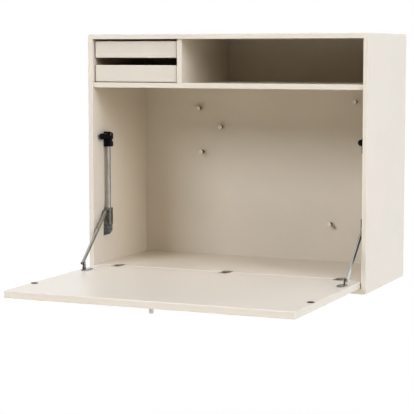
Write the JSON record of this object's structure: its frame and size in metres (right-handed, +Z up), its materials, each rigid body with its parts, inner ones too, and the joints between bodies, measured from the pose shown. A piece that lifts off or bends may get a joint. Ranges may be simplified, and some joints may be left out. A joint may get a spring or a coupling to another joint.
{
  "type": "fold down wall desk",
  "caption": "Wall-hung cabinet desk whose hinged front drops on brake stays to make a writing surface, with an open shelf and small sliding trays above.",
  "frame": {"origin": "on the wall plane, midway between the two wall screws", "axes": "+X to the right seen from the room, +Y into the wall, +Z up"},
  "size_m": [0.696, 0.7216, 0.586],
  "materials": {
    "lacquer": "warm beige satin lacquer on board",
    "birch": "clear matt varnish",
    "chrome": "bright plated steel",
    "nickel": "satin nickel",
    "steel": "plain steel",
    "zinc": "satin grey die casting",
    "knob": "satin paint",
    "black_plastic": "fine grain",
    "grey_plastic": "coarse grain"
  },
  "bodies": {
    "carcass": {"left_side_panel": "lacquer", "right_side_panel": "lacquer", "top_panel": "lacquer", "bottom_panel": "lacquer", "back_panel": "lacquer", "middle_shelf": "lacquer", "divider": "lacquer", "desk_floor": "lacquer", "panel_dowels": "birch", "wall_plates": "steel", "back_pegs": "lacquer", "tray_runners": "birch", "bracket_screws": "steel", "floor_hinge_screws": "steel", "left_top_bracket": "black_plastic", "left_catch_magnet": "steel", "left_lower_bracket": "grey_plastic", "left_guide_rod": "chrome", "right_top_bracket": "black_plastic", "right_catch_magnet": "steel", "right_lower_bracket": "grey_plastic", "right_guide_rod": "chrome", "left_hinge_plate": "nickel", "middle_hinge_plate": "nickel", "right_hinge_plate": "nickel"},
    "leaf": {"drop_leaf": "lacquer", "hinge_pins": "steel", "leaf_hinge_screws": "steel", "foot_screws": "steel", "strike_discs": "steel", "pull_knob": "knob", "left_hinge_cup": "nickel", "middle_hinge_cup": "nickel", "right_hinge_cup": "nickel", "left_foot_plate": "chrome", "left_foot_pin": "chrome", "right_foot_plate": "chrome", "right_foot_pin": "chrome"},
    "left_stay_arm": {"left_arm": "chrome", "left_arm_rivet": "chrome"},
    "right_stay_arm": {"right_arm": "chrome", "right_arm_rivet": "chrome"},
    "left_stay_slider": {"left_slider": "zinc", "left_brake_bush": "black_plastic"},
    "right_stay_slider": {"right_slider": "zinc", "right_brake_bush": "black_plastic"},
    "upper_tray": {"upper_tray_front": "lacquer", "upper_tray_left_side": "birch", "upper_tray_right_side": "birch", "upper_tray_back": "birch", "upper_tray_base": "birch"},
    "lower_tray": {"lower_tray_front": "lacquer", "lower_tray_left_side": "birch", "lower_tray_right_side": "birch", "lower_tray_back": "birch", "lower_tray_base": "birch"}
  },
  "joints": [
    {"name": "leaf_hinge", "type": "hinge", "parent": "carcass", "child": "leaf", "pos_m": [0, -0.28675, -0.52035], "axis": [-1, 0, 0], "range_deg": [0, 90]},
    {"name": "left_arm_pivot", "type": "hinge", "parent": "leaf", "child": "left_stay_arm", "pos_m": [-0.3274, -0.3742, -0.497], "axis": [1, 0, 0], "range_deg": [0, 135]},
    {"name": "left_slider_slide", "type": "slide", "parent": "carcass", "child": "left_stay_slider", "axis": [0, 0, 1], "range_m": [0, 0.118]},
    {"name": "right_arm_pivot", "type": "hinge", "parent": "leaf", "child": "right_stay_arm", "pos_m": [0.3274, -0.3742, -0.497], "axis": [1, 0, 0], "range_deg": [0, 135]},
    {"name": "right_slider_slide", "type": "slide", "parent": "carcass", "child": "right_stay_slider", "axis": [0, 0, 1], "range_m": [0, 0.118]},
    {"name": "upper_tray_slide", "type": "slide", "parent": "carcass", "child": "upper_tray", "axis": [0, -1, 0], "range_m": [0, 0.18]},
    {"name": "lower_tray_slide", "type": "slide", "parent": "carcass", "child": "lower_tray", "axis": [0, -1, 0], "range_m": [0, 0.18]}
  ],
  "couplings": [
    {"joint": "left_arm_pivot", "follows": "leaf_hinge", "ratio": 1.4909},
    {"joint": "left_slider_slide", "follows": "leaf_hinge", "m_per_rad": 0.074809},
    {"joint": "right_arm_pivot", "follows": "leaf_hinge", "ratio": 1.4909},
    {"joint": "right_slider_slide", "follows": "leaf_hinge", "m_per_rad": 0.074809}
  ]
}
